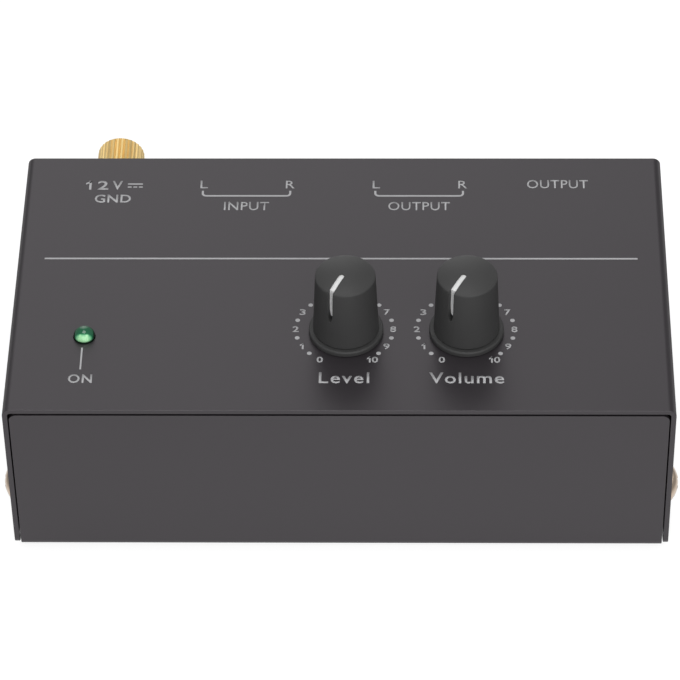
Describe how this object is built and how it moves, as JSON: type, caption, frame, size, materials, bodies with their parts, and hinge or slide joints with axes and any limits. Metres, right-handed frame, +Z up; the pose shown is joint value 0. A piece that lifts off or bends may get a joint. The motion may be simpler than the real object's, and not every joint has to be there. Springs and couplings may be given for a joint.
{
  "type": "phono preamp",
  "caption": "Small folded-steel phono preamp with two turning dials and an indicator on top, and phono sockets, a line socket, a power inlet and a clamping ground post behind.",
  "frame": {"origin": "the point on the table under the middle of the whole unit, sockets and ground nut included", "axes": "+X to the unit's right, +Y from the front panel to the sockets, +Z up out of the dials"},
  "size_m": [0.1318, 0.083, 0.0559],
  "materials": {
    "painted_steel": "satin dark grey powder coat",
    "nickel_screw": "polished nickel plate",
    "black_rubber": "matt",
    "knob_plastic": "soft-touch dark grey",
    "white_plastic": "white insert",
    "bright_steel": "bright zinc plate",
    "blue_plastic": "moulded housing",
    "tinned_copper": "tin plate",
    "green_lens": "tinted clear resin",
    "board_laminate": "green solder mask",
    "cream_plastic": "moulded",
    "ribbon_grey": "vinyl",
    "black_plastic": "moulded",
    "gold_plate": "gold plate",
    "green_wire": "wire sleeve",
    "white_insert": "moulded",
    "red_insert": "moulded",
    "black_zinc": "black passivated",
    "blue_sleeve": "shrink sleeve",
    "red_resin": "moulded box",
    "black_resin": "moulded package",
    "tan_resin": "lacquer",
    "aluminium_tab": "plain"
  },
  "bodies": {
    "case": {"top_cover": "painted_steel", "chassis": "painted_steel", "cover_screws": "nickel_screw", "rubber_feet": "black_rubber", "level_pot_housing": "blue_plastic", "level_pot_frame": "bright_steel", "volume_pot_housing": "blue_plastic", "volume_pot_frame": "bright_steel", "pot_terminals": "tinned_copper", "bush_washers": "bright_steel", "bush_nuts": "bright_steel", "led_lens": "green_lens", "led_leads": "tinned_copper", "control_board": "board_laminate", "link_sockets": "cream_plastic", "ribbon_cable": "ribbon_grey", "main_board": "board_laminate", "board_posts": "bright_steel", "board_screws": "bright_steel", "inlet_body": "black_plastic", "inlet_pin": "bright_steel", "inlet_lugs": "tinned_copper", "ground_post": "gold_plate", "ground_lug": "tinned_copper", "ground_hex_nut": "bright_steel", "ground_wire": "green_wire", "input_jack_block": "black_plastic", "output_jack_block": "black_plastic", "jack_shells": "gold_plate", "left_jack_inserts": "white_insert", "right_jack_inserts": "red_insert", "jack_contacts": "gold_plate", "jack_block_screws": "black_zinc", "line_jack_body": "black_plastic", "line_jack_bush": "bright_steel", "line_jack_washer": "bright_steel", "line_jack_nut": "bright_steel", "line_jack_springs": "tinned_copper", "reservoir_capacitors": "blue_sleeve", "film_capacitors": "red_resin", "amplifier_chips": "black_resin", "chip_legs": "tinned_copper", "resistors": "tan_resin", "resistor_leads": "tinned_copper", "voltage_regulator": "black_resin", "regulator_tab": "aluminium_tab", "regulator_legs": "tinned_copper"},
    "level_dial": {"level_knob": "knob_plastic", "level_pointer": "white_plastic", "level_shaft": "bright_steel"},
    "volume_dial": {"volume_knob": "knob_plastic", "volume_pointer": "white_plastic", "volume_shaft": "bright_steel"},
    "ground_clamp": {"ground_washer": "gold_plate"},
    "ground_nut": {"ground_thumb_nut": "gold_plate"}
  },
  "joints": [
    {"name": "level_turn", "type": "hinge", "parent": "case", "child": "level_dial", "pos_m": [0.00115, -0.01995, 0.04], "axis": [0, 0, -1], "range_deg": [0, 300]},
    {"name": "volume_turn", "type": "hinge", "parent": "case", "child": "volume_dial", "pos_m": [0.0244, -0.01995, 0.04], "axis": [0, 0, -1], "range_deg": [0, 300]},
    {"name": "ground_nut_travel", "type": "slide", "parent": "case", "child": "ground_clamp", "axis": [0, 1, 0], "range_m": [0, 0.0035]},
    {"name": "ground_nut_turn", "type": "hinge", "parent": "ground_clamp", "child": "ground_nut", "pos_m": [-0.0461, 0.03005, 0.031], "axis": [0, 1, 0], "range_deg": [0, 1800]}
  ],
  "couplings": [
    {"joint": "ground_nut_turn", "follows": "ground_nut_travel", "rad_per_m": 8976}
  ]
}
